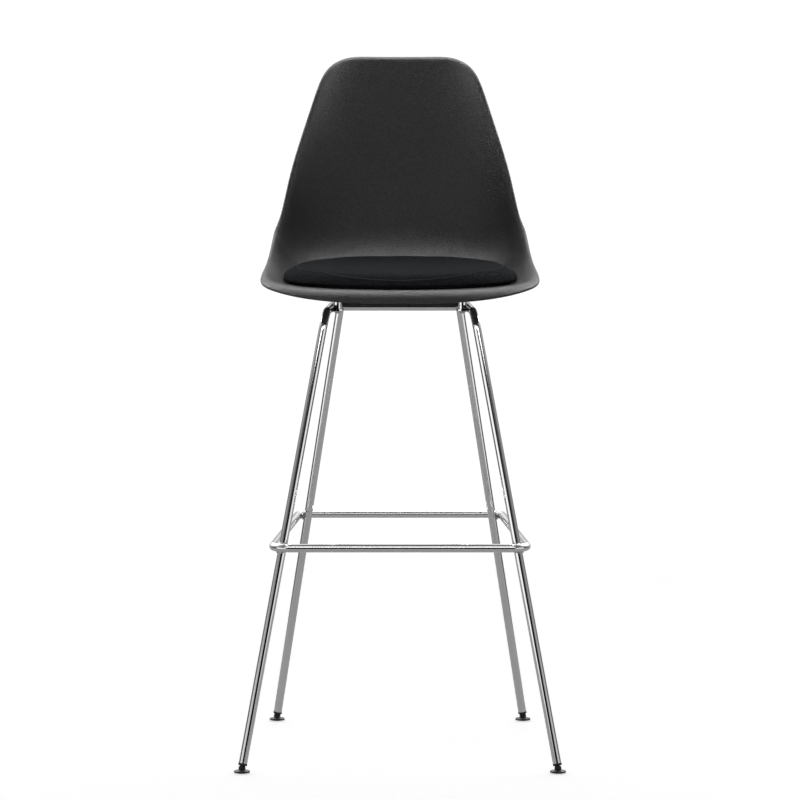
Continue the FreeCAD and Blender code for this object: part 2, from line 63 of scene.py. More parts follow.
# ---- node trees ----------------------------------------------------------------------------------
class Signal:
    """A value in a node tree. Arithmetic on it adds Math nodes."""

    def __init__(self, tree: "NodeTree", socket: bpy.types.NodeSocket) -> None:
        """Keep the tree that the value lives in and the socket that it comes from."""
        self.tree = tree
        self.socket = socket

    def _math(self, operation: str, first: Any, second: Any = None) -> "Signal":
        """Add one Math node.

        Args:
            operation: The Math node's operation.
            first: Its first value.
            second: Its second value, where it has one.

        Returns:
            The node's result.
        """
        values = {0: first} if second is None else {0: first, 1: second}
        return self.tree.add("ShaderNodeMath", {"operation": operation}, values)

    def __add__(self, other: Any) -> "Signal":
        """Sum."""
        return self._math("ADD", self, other)

    def __radd__(self, other: Any) -> "Signal":
        """Sum, with the number first."""
        return self._math("ADD", other, self)

    def __sub__(self, other: Any) -> "Signal":
        """Difference."""
        return self._math("SUBTRACT", self, other)

    def __mul__(self, other: Any) -> "Signal":
        """Product."""
        return self._math("MULTIPLY", self, other)

    def __neg__(self) -> "Signal":
        """Opposite."""
        return self._math("MULTIPLY", self, -1.0)

    def sine(self) -> "Signal":
        """Sine of the value in radians."""
        return self._math("SINE", self)

    def size(self) -> "Signal":
        """Value without its sign."""
        return self._math("ABSOLUTE", self)

    def between(self, low: float, high: float) -> "Signal":
        """Ease from 0 to 1 as the value goes from low to high."""
        return self.tree.add("ShaderNodeMapRange", {"interpolation_type": "SMOOTHSTEP"},
                             {0: self, 1: low, 2: high, 3: 0.0, 4: 1.0})


class NodeTree:
    """Adds nodes to one tree."""

    def __init__(self, tree: bpy.types.NodeTree) -> None:
        """Empty the tree and keep it."""
        self.tree = tree
        tree.nodes.clear()

    def add(self, kind: str, settings: Optional[dict] = None, values: Optional[dict] = None,
            output: Union[int, str] = 0) -> Signal:
        """Add one node.

        Args:
            kind: The node's type.
            settings: Its properties, set first; "stops" holds a ramp's (place, colour) pairs.
            values: Values or links of its sockets, by name or number.
            output: Which of its outputs is meant.

        Returns:
            The chosen output.
        """
        node = self.tree.nodes.new(kind)
        for name, value in (settings or {}).items():
            if name == "stops":
                while len(node.color_ramp.elements) < len(value):
                    node.color_ramp.elements.new(0.5)
                for element, (place, colour) in zip(node.color_ramp.elements, value):
                    element.position, element.color = place, (*colour, 1.0)
            else:
                setattr(node, name, value)
        for name, value in (values or {}).items():
            if isinstance(value, Signal):
                self.tree.links.new(value.socket, node.inputs[name])
            else:
                node.inputs[name].default_value = value
        return Signal(self, node.outputs[output] if len(node.outputs) else None)

    def noise(self, place: Signal, scale: float, detail: float = 2.0) -> Signal:
        """Smooth noise with a given number of grains to the metre."""
        values = {"Vector": place, "Scale": scale, "Detail": detail}
        return self.add("ShaderNodeTexNoise", {}, values, "Fac")

    def bump(self, height: Signal, depth: float) -> Signal:
        """Normal of a surface raised by height times a depth in metres."""
        return self.add("ShaderNodeBump", {}, {"Height": height, "Distance": depth, "Strength": 1.0})

    def mix(self, share: Signal, low: Any, high: Any) -> Signal:
        """Mix two colours, each a Signal or four numbers."""
        return self.add("ShaderNodeMix", {"data_type": "RGBA"}, {0: share, 6: low, 7: high}, 2)

    def blend(self, share: Signal, low: Sequence[float], high: Sequence[float]) -> Signal:
        """Colour between two fixed colours."""
        return self.mix(share, (*low, 1.0), (*high, 1.0))

    def place(self) -> Signal:
        """Place on the piece in metres."""
        return self.add("ShaderNodeTexCoord", {}, {}, "Object")

    def axes(self, place: Signal) -> tuple[Signal, Signal, Signal]:
        """The three numbers of a place."""
        return tuple(self.add("ShaderNodeSeparateXYZ", {}, {0: place}, k) for k in range(3))


# ---- finishes ------------------------------------------------------------------------------------
@dataclass(frozen=True)
class Finish:
    """What every finish has: a name, a colour pair that it varies between, and its gloss."""

    name: str
    dark: tuple[float, float, float]
    light: tuple[float, float, float]
    rough: tuple[float, float] = (0.4, 0.5)
    metal: float = 0.0
    patch: float = 9.0          # variations to the metre

    def material(self) -> bpy.types.Material:
        """The finish as a material, made once."""
        known = bpy.data.materials.get(self.name)
        if known:
            return known
        material = bpy.data.materials.new(self.name)
        material.use_nodes = True
        tree = NodeTree(material.node_tree)
        place = tree.place()
        cloud = tree.noise(place, self.patch, 3.0).between(0.3, 0.7)
        values = {"Base Color": tree.blend(cloud, self.dark, self.light), "Metallic": self.metal,
                  "Roughness": self.rough[0] + cloud * (self.rough[1] - self.rough[0])}
        values.update(self.detail(tree, place))
        shader = tree.add("ShaderNodeBsdfPrincipled", {}, values)
        tree.add("ShaderNodeOutputMaterial", {}, {0: shader})
        material.diffuse_color = (*self.light, 1.0)
        return material

    def detail(self, tree: NodeTree, place: Signal) -> dict:
        """Sockets that this finish sets in its own way."""
        return {}


@dataclass(frozen=True)
class MouldedPlastic(Finish):
    """Plastic with the fine spark-eroded grain of its mould."""

    grain: float = 1400.0       # grains to the metre
    depth: float = 0.00003

    def detail(self, tree: NodeTree, place: Signal) -> dict:
        """Two sizes of grain; the coarser one also shows as specks in colour and gloss."""
        fine, coarse = tree.noise(place, self.grain, 3.0), tree.noise(place, self.grain / 3, 2.0)
        speck = coarse.between(0.35, 0.65)
        return {"Normal": tree.bump(fine + coarse * 1.5, self.depth), "Specular IOR Level": 0.5,
                "Base Color": tree.blend(speck, self.dark, self.light),
                "Roughness": self.rough[0] + speck * (self.rough[1] - self.rough[0])}


@dataclass(frozen=True)
class WovenFabric(Finish):
    """Plain-woven wool cloth: threads over and under, and a short fuzz."""

    pitch: float = 0.0013
    depth: float = 0.0002
    slub: float = 560.0         # thick places and loose hairs to the metre
    fuzz: float = 2600.0
    weave_share: float = 0.35   # of the shade; the slubs give the rest

    def threads(self, tree: NodeTree, place: Signal) -> Signal:
        """Height of the weave, 0 to 1.

        Args:
            tree: The tree to add to.
            place: Place on the piece.

        Returns:
            Threads that cross on every side of the piece, whichever way it faces.
        """
        wander = tree.noise(place, 70.0, 2.0) * 2.2
        x, y, z = tree.axes(place)
        turn = math.pi / self.pitch
        warp = ((x + z) * turn + wander).sine()
        weft = ((y - z) * turn + wander).sine()
        return warp * weft * 0.5 + 0.5

    def detail(self, tree: NodeTree, place: Signal) -> dict:
        """Weave in colour and height, with slubs."""
        weave = self.threads(tree, place)
        slub, fuzz = tree.noise(place, self.slub, 3.0), tree.noise(place, self.fuzz, 2.0)
        shade = weave * self.weave_share + slub * (1 - self.weave_share)
        return {"Base Color": tree.blend(shade.between(0.3, 0.7), self.dark, self.light),
                "Roughness": 0.82 + weave * 0.12,
                "Normal": tree.bump(weave + fuzz * 0.35 + slub * 0.4, self.depth),
                "Specular IOR Level": 0.02}


@dataclass(frozen=True)
class PlatedMetal(Finish):
    """Plated or machined metal with a faint polish and fingerprints."""

    metal: float = 1.0
    grain: float = 300.0
    depth: float = 0.000004

    def detail(self, tree: NodeTree, place: Signal) -> dict:
        """Hairline unevenness, and patches that are a little duller."""
        smear = tree.noise(place, 34.0, 4.0).between(0.5, 0.78)
        low, high = self.rough
        return {"Normal": tree.bump(tree.noise(place, self.grain, 2.0), self.depth),
                "Roughness": low + smear * (high - low)}


@dataclass(frozen=True)
class WeldedMetal(PlatedMetal):
    """Chrome over a weld bead, which keeps the bead's ripples."""

    ripple: float = 0.0015
    depth: float = 0.00012

    def detail(self, tree: NodeTree, place: Signal) -> dict:
        """Overlapping ripples, duller on their slopes."""
        x, y, z = tree.axes(place)
        wander = tree.noise(place, 160.0, 1.0) * 5.0
        ripple = ((x * 0.7 + y + z * 0.8) * (2 * math.pi / self.ripple) + wander).sine()
        return {"Normal": tree.bump(ripple, self.depth), "Roughness": 0.16 + ripple.size() * 0.08}


@dataclass(frozen=True)
class SoftRubber(Finish):
    """Rubber or felt with a dry, dusty surface."""

    grain: float = 2200.0
    depth: float = 0.00008

    def detail(self, tree: NodeTree, place: Signal) -> dict:
        """A dry, fine-pored surface."""
        return {"Normal": tree.bump(tree.noise(place, self.grain, 4.0), self.depth)}


@dataclass(frozen=True)
class FloorPaint(Finish):
    """White studio floor that the camera sees as bright as the sweep behind it."""

    def detail(self, tree: NodeTree, place: Signal) -> dict:
        """Glow that only the camera sees, so that chrome still mirrors a painted floor."""
        seen = tree.add("ShaderNodeLightPath", {}, {}, "Is Camera Ray")
        return {"Emission Color": tree.blend(seen, (0.0, 0.0, 0.0), (0.62, 0.62, 0.62)),
                "Emission Strength": 1.0, "Specular IOR Level": 0.2}


SHELL_PLASTIC = MouldedPlastic("shell_plastic", (0.0035, 0.0036, 0.0037), (0.0190, 0.0191, 0.0194),
                               (0.34, 0.44), depth=0.00045)
PAD_CLOTH = WovenFabric("pad_cloth", (0.0030, 0.0034, 0.0042), (0.0480, 0.0500, 0.0550))
# The pad's cloth made lighter for the piping: a painted highlight along the seam.
SEAM_HIGHLIGHT_CLOTH = WovenFabric("seam_highlight_cloth", (0.0450, 0.0470, 0.0520), (0.0950, 0.0980, 0.1060), pitch=0.0009)
BOARD = Finish("board_fibre", (0.016, 0.015, 0.014), (0.024, 0.022, 0.020), (0.7, 0.8), patch=160.0)
CHROME = PlatedMetal("chrome", (0.62, 0.625, 0.64), (0.70, 0.705, 0.72), (0.025, 0.085))
CHROME_WELD = WeldedMetal("chrome_weld", (0.52, 0.525, 0.54), (0.62, 0.625, 0.64), (0.12, 0.24))
ZINC = PlatedMetal("zinc_steel", (0.42, 0.43, 0.45), (0.55, 0.56, 0.58), (0.24, 0.36), grain=900.0,
                   depth=0.00002)
BRASS = PlatedMetal("brass", (0.62, 0.44, 0.18), (0.75, 0.55, 0.25), (0.22, 0.34), grain=700.0,
                    depth=0.00001)
RUBBER = SoftRubber("isolator_rubber", (0.012, 0.012, 0.012), (0.022, 0.022, 0.022), (0.62, 0.75), patch=60.0)
GLIDE = MouldedPlastic("glide_plastic", (0.008, 0.008, 0.008), (0.014, 0.014, 0.014), (0.28, 0.36),
                       grain=2400.0)
SOLE = SoftRubber("sole_felt", (0.030, 0.030, 0.031), (0.055, 0.055, 0.056), (0.85, 0.95), patch=500.0)
FLOOR = FloorPaint("studio_floor", (0.60, 0.60, 0.60), (0.62, 0.62, 0.62), (0.9, 0.95), patch=3.0)


class Slot(Enum):
    """The record's material slots, and the finish that each one gets."""

    SHELL = "shell"
    INSERT = "insert"
    PAD = "pad"
    BOARD = "board"
    CHROME = "chrome"
    FIXING = "fixing"
    ISOLATOR = "isolator"
    GLIDE = "glide"
    SOLE = "sole"

    @property
    def finish(self) -> Finish:
        """The finish of this slot."""
        return {Slot.SHELL: SHELL_PLASTIC, Slot.INSERT: BRASS, Slot.PAD: PAD_CLOTH, Slot.BOARD: BOARD,
                Slot.CHROME: CHROME, Slot.FIXING: ZINC, Slot.ISOLATOR: RUBBER, Slot.GLIDE: GLIDE,
                Slot.SOLE: SOLE}[self]


# ---- modelling helpers ---------------------------------------------------------------------------
def start_alone() -> None:
    """Leave edit mode and select nothing, so that the next operator acts only on its own piece."""
    if bpy.context.object and bpy.context.object.mode != "OBJECT":
        bpy.ops.object.mode_set(mode="OBJECT")
    bpy.ops.object.select_all(action="DESELECT")


def make_active(piece: bpy.types.Object) -> None:
    """Select one piece alone and make it the active one."""
    start_alone()
    piece.select_set(True)
    bpy.context.view_layer.objects.active = piece


def settle(piece: bpy.types.Object, smooth: float = 40.0) -> bpy.types.Object:
    """Finish a piece: its place goes into its mesh, its faces point out and its curves are smooth.

    Args:
        piece: The piece.
        smooth: Edges that turn by less than this many degrees are shaded smooth.

    Returns:
        The same piece.
    """
    make_active(piece)
    bpy.ops.object.transform_apply(location=True, rotation=True, scale=True)
    bpy.ops.object.mode_set(mode="EDIT")
    bpy.ops.mesh.select_all(action="SELECT")
    bpy.ops.mesh.remove_doubles(threshold=0.00001)
    bpy.ops.mesh.normals_make_consistent(inside=False)
    bpy.ops.object.mode_set(mode="OBJECT")
    bpy.ops.object.shade_smooth_by_angle(angle=math.radians(smooth))
    return piece


def apply_modifier(piece: bpy.types.Object, kind: str, **settings: Any) -> None:
    """Add one modifier with its settings and apply it."""
    make_active(piece)
    modifier = piece.modifiers.new(kind.lower(), kind)
    for name, value in settings.items():
        setattr(modifier, name, value)
    bpy.ops.object.modifier_apply(modifier=modifier.name)


def dress(piece: bpy.types.Object, finish: Finish) -> None:
    """Give a piece one finish all over."""
    if not piece.data.materials:
        piece.data.materials.append(finish.material())
    for index in range(len(piece.data.materials)):
        piece.data.materials[index] = finish.material()


def stand_in(piece: bpy.types.Object, body: str, slot: Slot, *nodes: str,
             finish: Optional[Finish] = None) -> None:
    """Hand a finished piece to the frame.

    Args:
        piece: The piece.
        body: The body that it rides on.
        slot: The record's material slot.
        nodes: The frame's nodes that it stands for.
        finish: A finish other than the slot's own.
    """
    dress(piece, finish or slot.finish)
    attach(piece, body)
    if nodes:
        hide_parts(*nodes)
    log.info("%s: %d faces on %s", piece.name, len(piece.data.polygons), body)


def turned(name: str, profile: Pairs, base: Vector, up: Vector = Vector((0, 0, 1)), sides: int = 48,
           hollow: bool = False) -> bpy.types.Object:
    """A lathe-turned piece, drawn up ring by ring from its profile.

    Args:
        name: The piece's name.
        profile: (radius, height) points in millimetres, from the bottom.
        base: Where height 0 is, in metres.
        up: The axis it is turned about.
        sides: Faces round it.
        hollow: True for a profile that comes back to its own start, such as a washer's.

    Returns:
        The piece.
    """
    start_alone()
    (radius, height), rest = profile[0], profile[1:]
    fill = "NOTHING" if hollow else "NGON"
    bpy.ops.mesh.primitive_circle_add(vertices=sides, radius=max(radius, 0.01) * MM, fill_type=fill,
                                      location=(0, 0, height * MM))
    piece = bpy.context.object
    piece.name = piece.data.name = name
    bpy.ops.object.transform_apply(location=True, rotation=True, scale=True)
    bpy.ops.object.mode_set(mode="EDIT")
    bpy.ops.mesh.select_all(action="SELECT")
    draw_up = bpy.ops.mesh.extrude_edges_move if hollow else bpy.ops.mesh.extrude_region_move
    for next_radius, next_height in rest:
        draw_up(TRANSFORM_OT_translate={"value": (0, 0, (next_height - height) * MM)})
        scale = max(next_radius, 0.01) / max(radius, 0.01)
        bpy.ops.transform.resize(value=(scale, scale, 1))
        radius, height = next_radius, next_height
    bpy.ops.object.mode_set(mode="OBJECT")
    piece.rotation_euler = up.to_track_quat("Z", "Y").to_euler()
    piece.location = base
    return piece


def joined(pieces: Sequence[bpy.types.Object], name: str) -> bpy.types.Object:
    """Several pieces joined into one named object, which stays active."""
    make_active(pieces[0])
    for piece in pieces[1:]:
        piece.select_set(True)
    bpy.ops.object.join()
    pieces[0].name = pieces[0].data.name = name
    return pieces[0]


def arc(radius: float, centre: tuple[float, float], start: float, end: float, steps: int) -> list:
    """Points of an arc in a profile, angles in degrees from the axis's right."""
    angles = [math.radians(start + (end - start) * k / steps) for k in range(steps + 1)]
    return [(centre[0] + radius * math.cos(a), centre[1] + radius * math.sin(a)) for a in angles]


def bent_tube(name: str, corners: Sequence[Vector], bend: float, radius: float, closed: bool = False,
              sides: int = 40) -> bpy.types.Object:
    """A round tube drawn along straight runs, with a spun elbow at each corner.

    Args:
        name: The piece's name.
        corners: Where the straight runs' lines meet, and the two ends of an open tube, in metres.
        bend: Elbow radius in metres.
        radius: Tube radius in metres.
        closed: True for a ring.
        sides: Faces round the tube.

    Returns:
        The tube's outer skin.
    """
    start = (corners[-1] + corners[0]) / 2 if closed else corners[0]
    stops = list(corners) + [start] if closed else list(corners[1:])
    start_alone()
    heading = (stops[0] - start).normalized()
    bpy.ops.mesh.primitive_circle_add(vertices=sides, radius=radius, fill_type="NOTHING", location=start,
                                      rotation=heading.to_track_quat("Z", "Y").to_euler())
    tube = bpy.context.object
    tube.name = tube.data.name = name
    bpy.ops.object.transform_apply(location=True, rotation=True, scale=True)
    bpy.ops.object.mode_set(mode="EDIT")
    bpy.ops.mesh.select_all(action="SELECT")
    here = start
    for corner, after in zip(stops, stops[1:]):
        onward = (after - corner).normalized()
        turn = heading.angle(onward)
        reach = bend * math.tan(turn / 2)
        bend_start = corner - heading * reach
        bpy.ops.mesh.extrude_edges_move(TRANSFORM_OT_translate={"value": bend_start - here})
        axis = heading.cross(onward).normalized()
        middle = bend_start + axis.cross(heading) * bend
        bpy.ops.mesh.spin(steps=14, angle=-turn, center=middle, axis=axis)
        here, heading = corner + onward * reach, onward
    bpy.ops.mesh.extrude_edges_move(TRANSFORM_OT_translate={"value": stops[-1] - here})
    bpy.ops.object.mode_set(mode="OBJECT")
    return tube


# ---- base ----------------------------------------------------------------------------------------
@dataclass
class TubeBase:
    """Two bent side frames, the bar between them and the footrest ring."""

    tube_radius: float = 7.0
    wall: float = 2.0
    rail_front: tuple[float, float] = (122.8, 159.0)
    rail_rear: tuple[float, float] = (100.2, 159.0)
    rail_height: float = 755.0
    elbow: float = 33.0
    ring_height: float = 370.0
    ring_half_widths: tuple[float, float] = (212.0, 176.0)     # front, rear
    ring_corner: float = 28.0
    tube_start: float = 8.4                                    # along the leg from the ball's centre

    def ball(self, side: str, end: str) -> Vector:
        """Centre of one foot's ball, from the frame's joints."""
        name = f"foot_tilt_{end}_{side}"
        return Vector(next(joint["pos_m"] for joint in frame["joints"] if joint["name"] == name))

    def rail_corner(self, side: str, end: str) -> Vector:
        """Where a leg's line meets its top rail's."""
        across, deep = self.rail_front if end == "front" else self.rail_rear
        x_sign, y_sign = (-1 if side == "left" else 1), (-1 if end == "front" else 1)
        return Vector((x_sign * across, y_sign * deep, self.rail_height)) * MM

    def leg_way(self, side: str, end: str) -> Vector:
        """Unit vector up a leg."""
        return (self.rail_corner(side, end) - self.ball(side, end)).normalized()

    def side_frame(self, side: str) -> None:
        """Model one side frame as a real tube with open ends."""
        ends = {end: self.ball(side, end) + self.leg_way(side, end) * self.tube_start * MM
                for end in ("front", "rear")}
        rail = [self.rail_corner(side, end) for end in ("front", "rear")]
        corners = [ends["front"], *rail, ends["rear"]]
        tube = settle(bent_tube(f"chromed_frame_{side}", corners, self.elbow * MM, self.tube_radius * MM))
        apply_modifier(tube, "SOLIDIFY", thickness=self.wall * MM, offset=-1.0)
        stand_in(settle(tube), STOOL, Slot.CHROME, f"side_frame_{side}")

    def ring_line(self, y_sign: int) -> float:
        """Where a footrest bar's line lies when it touches its two legs, in metres along Y."""
        end = "front" if y_sign < 0 else "rear"
        way, ball = self.leg_way("right", end), self.ball("right", end)
        at_ring = ball + way * ((self.ring_height * MM - ball.z) / way.z)
        return at_ring.y + y_sign * 2 * self.tube_radius * MM * math.hypot(way.y, way.z) / way.z

    def footrest(self) -> None:
        """Model the footrest ring."""
        front, rear = self.ring_line(-1), self.ring_line(1)
        wide, narrow = (half * MM for half in self.ring_half_widths)
        height = self.ring_height * MM
        corners = [Vector((-wide, front, height)), Vector((wide, front, height)),
                   Vector((narrow, rear, height)), Vector((-narrow, rear, height))]
        ring = bent_tube("chromed_footrest", corners, self.ring_corner * MM, self.tube_radius * MM,
                         closed=True)
        stand_in(settle(ring), STOOL, Slot.CHROME, "footrest_ring")

    def build(self) -> None:
        """Model the base and dress the frame's own welded pieces."""
        for side in ("left", "right"):
            self.side_frame(side)
        self.footrest()
        dress(frame["nodes"]["crossbar"], CHROME)
        for node in ("crossbar_welds", "footrest_welds", "tab_welds"):
            dress(frame["nodes"][node], CHROME_WELD)
        for node in frame["nodes"]:
            if node.startswith("tab_") and node != "tab_welds":
                dress(frame["nodes"][node], CHROME)


# ---- seat fixings --------------------------------------------------------------------------------
@dataclass
class SeatFixings:
    """What is stacked between each tab and its boss: washer, screw, spacer and isolator."""

    places: Pairs = ((104.0, -100.0), (90.0, 100.0))
    tab_low: float = 753.5
    tab_high: float = 756.5
    washer: tuple[float, float] = (7.0, 1.2)
    screw: tuple[float, float] = (2.98, 6.0)
    head_height: float = 3.6
    spacer: tuple[float, float] = (7.0, 13.0)
    isolator: tuple[float, float] = (11.0, 3.0)
    hole: float = 3.3
    insert_depth: float = 12.0
    pitch: float = 1.0
    hex_socket: tuple[float, float] = (2.3, 2.2)    # corner radius and depth

    def bases(self, height: float) -> list[Vector]:
        """The four fixings' places at one height, in metres."""
        return [Vector((x_sign * x, y, height)) * MM for x, y in self.places for x_sign in (-1, 1)]

    def rings(self, name: str, profile: Pairs, height: float, slot: Slot, node: str) -> None:
        """Model a ring-shaped piece once for each fixing and join the four."""
        made = [settle(turned(f"{name}_{number}", profile, base, hollow=True), 35.0)
                for number, base in enumerate(self.bases(height))]
        stand_in(joined(made, name), STOOL, slot, node)

    def spacers(self) -> None:
        """Chromed spacers with broken edges and a shallow groove round the middle."""
        radius, height = self.spacer
        ease, middle = 0.7, height / 2
        profile = [(self.hole, 0.3), (self.hole + 0.3, 0.0), (radius - ease, 0.0), (radius, ease),
                   (radius, middle - 0.7), (radius - 0.35, middle - 0.35), (radius - 0.35, middle + 0.35),
                   (radius, middle + 0.7), (radius, height - ease), (radius - ease, height),
                   (self.hole + 0.3, height), (self.hole, height - 0.3), (self.hole, 0.3)]
        self.rings("chromed_spacers", profile, self.tab_high, Slot.CHROME, "spacers")

    def isolators(self) -> None:
        """Rubber discs that bulge a little under the seat's weight."""
        radius, height = self.isolator
        profile = [(self.hole, 0.0), (radius - 0.9, 0.0)]
        profile += arc(height / 2, (radius - height / 2, height / 2), -80, 80, 8)
        profile += [(radius - 0.9, height), (self.hole, height), (self.hole, 0.0)]
        self.rings("rubber_isolators", profile, self.tab_high + self.spacer[1], Slot.ISOLATOR, "isolators")

    def washers(self) -> None:
        """Thin pressed washers with one rounded edge."""
        radius, height = self.washer
        profile = [(self.hole, 0.1), (self.hole + 0.2, 0.0), (radius - 0.5, 0.0), (radius - 0.15, 0.15),
                   (radius, 0.5), (radius, height), (self.hole, height), (self.hole, 0.1)]
        self.rings("steel_washers", profile, self.tab_low - height, Slot.FIXING, "base_washers")

    def screws(self) -> None:
        """Button-head screws with six-sided sockets, heads down."""
        shank, head = self.screw
        head_top = self.tab_low - self.washer[1]
        tip = self.tab_high + self.spacer[1] + self.isolator[1] + self.insert_depth - head_top
        dome = arc(head - 1.2, (1.2, 3.2), -66, -8, 8)
        profile = [(2.6, dome[0][1])] + dome
        profile += [(head, self.head_height - 0.5), (head - 0.2, self.head_height)]
        profile += [(shank + 0.5, self.head_height), (shank, self.head_height + 0.5)]
        low = dome[0][1]
        profile = [(r, z - low) for r, z in profile]
        scale = self.head_height / (self.head_height - low)
        profile = [(r, z * scale) for r, z in profile]
        for turn in range(int((tip - 6) / self.pitch)):
            z = self.head_height + 5 + turn * self.pitch
            profile += [(shank, z), (shank - 0.45, z + self.pitch * 0.45)]
        profile += [(shank - 0.45, self.head_height + tip - 0.5), (shank - 1.2, self.head_height + tip)]
        socket_radius, socket_depth = (size * MM for size in self.hex_socket)
        made = []
        for base in self.bases(head_top - self.head_height):
            piece = settle(turned(f"seat_screw_{len(made)}", profile, base, sides=36), 32.0)
            start_alone()
            bpy.ops.mesh.primitive_cylinder_add(vertices=6, radius=socket_radius, depth=2 * socket_depth,
                                                location=base)
            socket = bpy.context.object
            apply_modifier(piece, "BOOLEAN", operation="DIFFERENCE", object=socket, solver="EXACT")
            bpy.data.objects.remove(socket)
            made.append(piece)
        screws = joined(made, "seat_screws")
        bpy.ops.object.shade_smooth_by_angle(angle=math.radians(32))
        stand_in(screws, STOOL, Slot.FIXING, "base_screws")

    def build(self) -> None:
        """Model the four stacks and dress the inserts."""
        self.spacers()
        self.isolators()
        self.washers()
        self.screws()
        dress(frame["nodes"]["shell_inserts"], BRASS)
        dress(frame["nodes"]["pad_screws"], ZINC)


# ---- feet ----------------------------------------------------------------------------------------
@dataclass
class Feet:
    """Plug, ball, tilting foot and sole at the end of each leg."""

    ball_radius: float = 4.0
    stem_radius: float = 1.9
    collar: tuple[float, float, float] = (7.5, 4.4, 8.4)       # radius, start and end along the leg
    collar_hollow: float = 6.2
    plug: tuple[float, float] = (4.95, 26.0)
    disc_radius: float = 13.5
    disc_low: float = 1.0
    disc_top: float = 4.3
    tread: float = 10.0
    dome: float = 5.9
    dome_top: float = 4.0
    play: float = 0.05
    sole: tuple[float, float] = (8.8, 1.6)

    def leg_plug(self, base: TubeBase, side: str, end: str) -> None:
        """Model the plug with its collar, stem and ball."""
        ball, way = base.ball(side, end), base.leg_way(side, end)
        radius, start, stop = self.collar
        ball_arc = arc(self.ball_radius, (0, 0), -90, 61, 14)
        rim = math.sqrt(self.collar_hollow ** 2 - start ** 2)
        hollow = arc(self.collar_hollow, (0, 0), 71, math.degrees(math.atan2(start, rim)), 6)
        profile = [(max(r, 0.01), z) for r, z in ball_arc if r > self.stem_radius or z < 0]
        profile += [(self.stem_radius, 3.9), (self.stem_radius, hollow[0][1])] + hollow
        profile += [(radius - 0.8, start)] + arc(0.8, (radius - 0.8, start + 0.8), -60, 0, 4)
        profile += arc(0.8, (radius - 0.8, stop - 0.8), 0, 60, 4)
        profile += [(radius - 0.8, stop), (self.plug[0], stop)]
        for rib in range(5):
            z = stop + 3 + rib * 4.2
            profile += [(self.plug[0], z), (self.plug[0] - 0.5, z + 0.6), (self.plug[0], z + 1.2)]
        profile += [(self.plug[0], stop + self.plug[1] - 2), (self.plug[0] - 1.2, stop + self.plug[1])]
        plug = settle(turned(f"plug_{end}_{side}", profile, ball, way), 38.0)
        stand_in(plug, STOOL, Slot.GLIDE, f"leg_plug_{end}_{side}")

    def foot(self, base: TubeBase, side: str, end: str) -> None:
        """Model the tilting foot: rounded disc, domed tower and the socket inside it."""
        ball = base.ball(side, end)
        centre = ball.z / MM
        top = centre + self.dome_top
        rim = math.sqrt(self.dome ** 2 - self.dome_top ** 2)
        socket = self.ball_radius + self.play
        disc_edge = arc(1.9, (self.disc_radius - 1.9, self.disc_top - 1.95), -42, 88, 10)
        profile = [(self.sole[0] + self.play, self.sole[1]), (self.sole[0] + self.play, self.disc_low),
                   (self.tread, self.disc_low)] + disc_edge
        profile += [(self.dome + 2.4, self.disc_top - 0.05)]
        profile += arc(2.0, (self.dome + 1.5, self.disc_top + 1.8), -90, -178, 7)
        dome = arc(self.dome, (0, centre), -18, math.degrees(math.atan2(self.dome_top, rim)), 12)
        profile += [point for point in dome if point[1] > self.disc_top + 1.9]
        profile += [(rim - 0.45, top)]
        profile += arc(socket, (0, centre), 38, -89, 12)
        foot = settle(turned(f"tilting_foot_{end}_{side}", profile, Vector((ball.x, ball.y, 0))), 40.0)
        stand_in(foot, f"foot_{end}_{side}", Slot.GLIDE, f"foot_{end}_{side}")

    def sole_disc(self, base: TubeBase, side: str, end: str) -> None:
        """Model the sole with a rounded edge and three turned grooves."""
        ball = base.ball(side, end)
        radius, height = self.sole
        profile = [(0.3, 0.0)]
        for groove in (2.4, 4.6, 6.8):
            profile += [(groove - 0.3, 0.0), (groove - 0.1, 0.2), (groove + 0.1, 0.2), (groove + 0.3, 0.0)]
        profile += [(radius - 0.4, 0.0)] + arc(0.4, (radius - 0.4, 0.4), -60, 0, 3)
        profile += [(radius, height), (0.3, height)]
        sole = settle(turned(f"felt_sole_{end}_{side}", profile, Vector((ball.x, ball.y, 0))), 40.0)
        stand_in(sole, f"foot_{end}_{side}", Slot.SOLE, f"sole_{end}_{side}")

    def build(self, base: TubeBase) -> None:
        """Model all four feet."""
        for end in ("front", "rear"):
            for side in ("left", "right"):
                self.leg_plug(base, side, end)
                self.foot(base, side, end)
                self.sole_disc(base, side, end)


# ---- shell and pad -------------------------------------------------------------------------------
class Spline:
    """A natural cubic spline through (t, value) pairs."""

    def __init__(self, pairs: Pairs) -> None:
        """Solve the spline's bends once."""
        self.t = [float(t) for t, _ in pairs]
        self.v = [float(v) for _, v in pairs]
        n = len(self.t)
        h = [self.t[i + 1] - self.t[i] for i in range(n - 1)]
        slope = [(self.v[i + 1] - self.v[i]) / h[i] for i in range(n - 1)]
        upper, right = [0.0] * n, [0.0] * n
        for i in range(1, n - 1):
            pivot = 2 * (h[i - 1] + h[i]) - h[i - 1] * upper[i - 1]
            upper[i] = h[i] / pivot
            right[i] = (6 * (slope[i] - slope[i - 1]) - h[i - 1] * right[i - 1]) / pivot
        self.bend = [0.0] * n
        for i in range(n - 2, 0, -1):
            self.bend[i] = right[i] - upper[i] * self.bend[i + 1]

    def at(self, t: float) -> float:
        """Value at t."""
        i = next((k for k in range(len(self.t) - 2) if t < self.t[k + 1]), len(self.t) - 2)
        h = self.t[i + 1] - self.t[i]
        a, b = (self.t[i + 1] - t) / h, (t - self.t[i]) / h
        curve = (a ** 3 - a) * self.bend[i] + (b ** 3 - b) * self.bend[i + 1]
        return a * self.v[i] + b * self.v[i + 1] + curve * h * h / 6

    def slope(self, t: float) -> float:
        """Rate of change at t."""
        return (self.at(t + 0.01) - self.at(t - 0.01)) / 0.02


